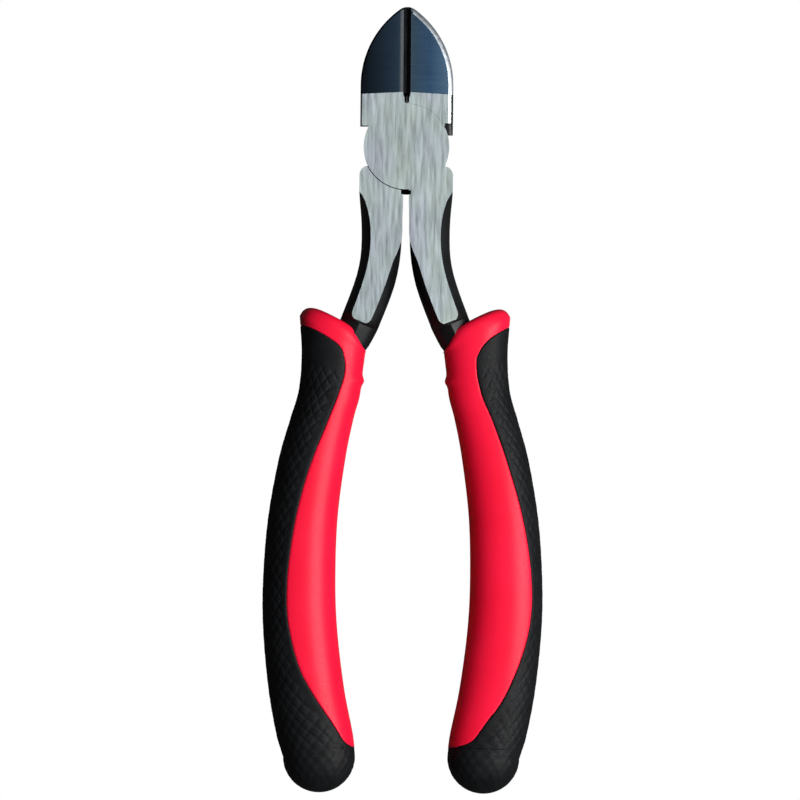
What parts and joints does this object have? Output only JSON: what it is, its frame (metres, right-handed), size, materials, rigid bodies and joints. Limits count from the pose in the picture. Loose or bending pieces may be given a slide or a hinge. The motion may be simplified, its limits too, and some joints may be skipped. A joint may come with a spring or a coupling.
{
  "type": "diagonal cutting pliers",
  "caption": "Hand pliers with side-cutting jaws for wire, a riveted lap joint and curved two-material grips with thumb guards.",
  "frame": {"origin": "on the pivot axis, at the ground back face of the head", "axes": "+Y runs to the jaw tips, +Z runs from the back face to the front face, +X lies on the side of the front lever's grip; the jaws are closed at rest"},
  "size_m": [0.0642, 0.18, 0.015],
  "materials": {
    "lever_steel": "ground faces, black oxide on the forged flanks, dark polished jaws",
    "rivet_steel": "ground flush with the faces",
    "red_grip": "satin moulded plastic",
    "black_grip": "soft rubber with a fine diamond texture"
  },
  "bodies": {
    "front_half": {"front_lever": "lever_steel", "pivot_rivet": "rivet_steel", "right_grip_shell": "red_grip", "right_grip_inlay": "black_grip"},
    "back_half": {"back_lever": "lever_steel", "left_grip_shell": "red_grip", "left_grip_inlay": "black_grip"}
  },
  "joints": [
    {"name": "pivot", "type": "hinge", "parent": "front_half", "child": "back_half", "pos_m": [0, 0, 0.0053], "axis": [0, 0, -1], "range_deg": [0, 36]}
  ]
}
